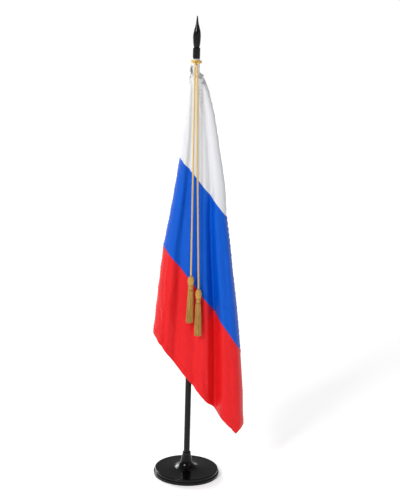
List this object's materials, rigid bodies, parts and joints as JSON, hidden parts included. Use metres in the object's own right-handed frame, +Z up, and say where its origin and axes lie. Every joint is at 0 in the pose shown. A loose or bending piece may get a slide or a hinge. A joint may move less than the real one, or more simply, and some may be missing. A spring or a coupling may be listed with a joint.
{
  "type": "desk flag stand",
  "caption": "Desk flag stand: weighted trumpet base, slim pole with spear finial, three-stripe satin flag hanging in folds, gold cord with tassels.",
  "frame": {"origin": "centre of the underside, on the pole's axis, on the table", "axes": "+Z up along the pole; -Y is the side the folded flag shows; +X is where the flag's low corner hangs"},
  "size_m": [0.0832, 0.065, 0.4525],
  "materials": {
    "black_plastic": "gloss",
    "black_pole": "gloss",
    "dark_inner_plastic": "matte",
    "ballast_iron": "matte",
    "zinc_screw": "satin",
    "felt": "matte",
    "white_satin": "satin",
    "blue_satin": "satin",
    "red_satin": "satin",
    "gold_cord": "satin",
    "gold_thread": "satin"
  },
  "bodies": {
    "base": {"base_shell": "black_plastic", "ballast_disc": "ballast_iron", "bottom_plate": "dark_inner_plastic", "cover_screws": "zinc_screw", "felt_pad": "felt"},
    "cup": {"pole_cup": "dark_inner_plastic"},
    "pole": {"pole_tube": "black_pole", "pole_end_plug": "dark_inner_plastic"},
    "finial": {"finial_ferrule": "black_plastic", "finial_spear": "black_plastic"},
    "flag": {"hoist_sleeve": "white_satin", "white_panel": "white_satin", "blue_panel": "blue_satin", "red_panel": "red_satin", "cord_loop": "gold_cord", "cord_knot": "gold_cord"},
    "left_tassel": {"left_cord": "gold_cord", "left_tassel_head": "gold_thread", "left_tassel_band": "gold_thread", "left_tassel_skirt": "gold_thread"},
    "right_tassel": {"right_cord": "gold_cord", "right_tassel_head": "gold_thread", "right_tassel_band": "gold_thread", "right_tassel_skirt": "gold_thread"}
  },
  "joints": [
    {"name": "pole_turn", "type": "hinge", "parent": "base", "child": "cup", "pos_m": [0, 0, 0.0064], "axis": [0, 0, 1], "continuous": true},
    {"name": "pole_lift", "type": "slide", "parent": "cup", "child": "pole", "axis": [0, 0, 1], "range_m": [0, 0.03]},
    {"name": "finial_lift", "type": "slide", "parent": "pole", "child": "finial", "axis": [0, 0, 1], "range_m": [0, 0.02]},
    {"name": "flag_turn", "type": "hinge", "parent": "pole", "child": "flag", "pos_m": [0, 0, 0.308], "axis": [0, 0, 1], "continuous": true},
    {"name": "left_cord_swing", "type": "hinge", "parent": "flag", "child": "left_tassel", "pos_m": [-0.001, -0.0084, 0.4066], "axis": [-1, 0, 0], "range_deg": [0, 45]},
    {"name": "right_cord_swing", "type": "hinge", "parent": "flag", "child": "right_tassel", "pos_m": [0.001, -0.0084, 0.4066], "axis": [-1, 0, 0], "range_deg": [0, 45]}
  ]
}
